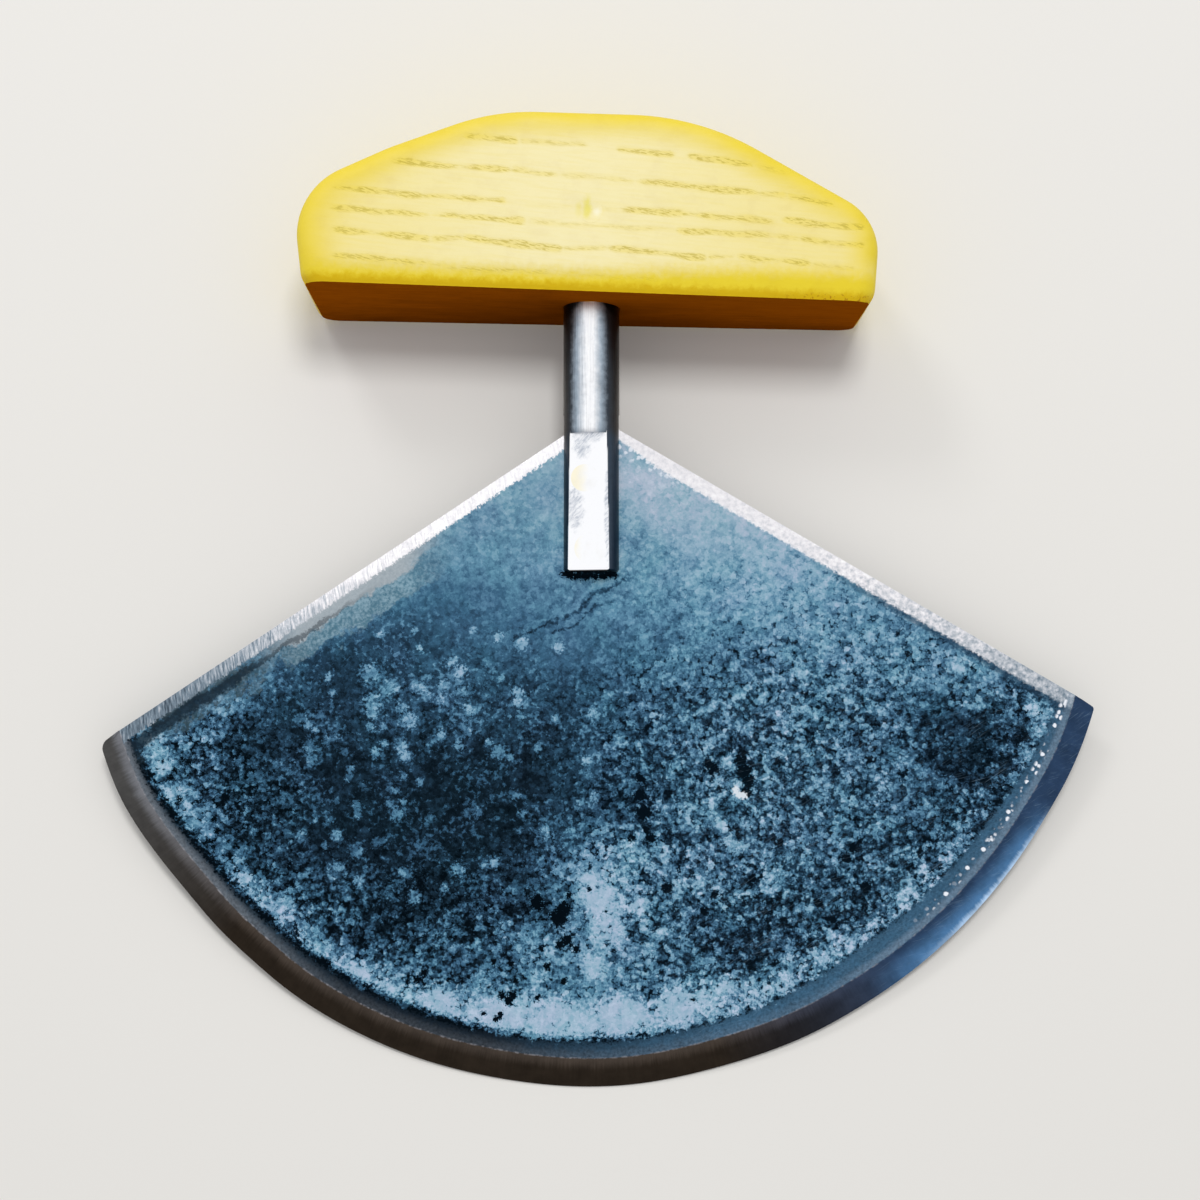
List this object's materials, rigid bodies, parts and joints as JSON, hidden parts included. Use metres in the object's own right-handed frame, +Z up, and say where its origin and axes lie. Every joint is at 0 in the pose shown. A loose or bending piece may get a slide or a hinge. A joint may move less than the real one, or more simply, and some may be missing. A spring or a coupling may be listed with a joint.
{
  "type": "ulu knife",
  "caption": "Ulu knife: fan-shaped chisel-ground blade riveted into a slotted round steel stem, with a painted wooden handle across its top.",
  "frame": {"origin": "on the surface the knife lies on, under the middle of its bounding box", "axes": "+Z up from the surface, the side with the ground bevel uppermost; +Y from the cutting edge towards the handle; +X to the right along the blade's width. The knife lies on its back, tilted 4.7 degrees, touching at the cutting edge's lowest point and the handle's back edge"},
  "size_m": [0.1748, 0.1704, 0.0273],
  "materials": {
    "blade_steel": "blue-grey patinated carbon steel, ground edge and filed sides bright",
    "stem_steel": "bright, brushed lengthwise, filed flat at the foot",
    "rivet_brass": "pale, filed flush",
    "painted_wood": "satin yellow paint over open-grained wood",
    "pin_steel": "plain drawn wire",
    "painted_filler": "wood filler under the same yellow paint"
  },
  "bodies": {
    "root": {"blade": "blade_steel", "stem": "stem_steel", "upper_rivet": "rivet_brass", "lower_rivet": "rivet_brass", "handle": "painted_wood", "tang_pin": "pin_steel", "pin_plug": "painted_filler"}
  },
  "joints": []
}
